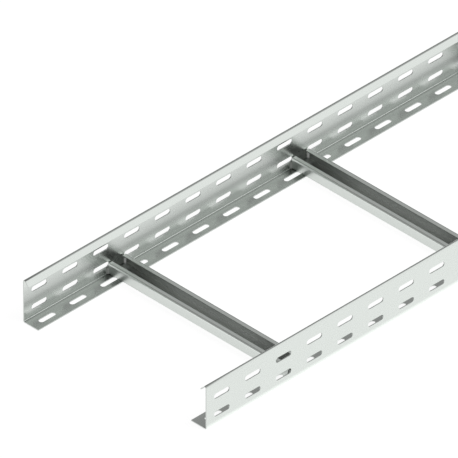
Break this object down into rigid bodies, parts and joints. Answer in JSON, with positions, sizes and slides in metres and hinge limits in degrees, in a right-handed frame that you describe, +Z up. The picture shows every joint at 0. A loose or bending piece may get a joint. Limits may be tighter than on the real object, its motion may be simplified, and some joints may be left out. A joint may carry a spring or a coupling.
{
  "type": "cable ladder section",
  "caption": "Straight cable ladder: two punched channel side rails with folded lips, joined by welded open C-profile rungs.",
  "frame": {"origin": "centre of the ladder's footprint, at the underside of the rails' feet", "axes": "+X along the side rails, +Y across the ladder from the right rail to the left rail, +Z up through the open mouths of the rungs"},
  "size_m": [3, 0.3, 0.06],
  "materials": {
    "rail_steel": "strip-galvanised sheet steel, semi-gloss, faint rolling grain",
    "rung_steel": "strip-galvanised sheet steel, semi-gloss, faint rolling grain"
  },
  "bodies": {
    "root": {"side_rail_left": "rail_steel", "side_rail_right": "rail_steel", "rung_01": "rung_steel", "rung_02": "rung_steel", "rung_03": "rung_steel", "rung_04": "rung_steel", "rung_05": "rung_steel", "rung_06": "rung_steel", "rung_07": "rung_steel", "rung_08": "rung_steel", "rung_09": "rung_steel", "rung_10": "rung_steel"}
  },
  "joints": []
}
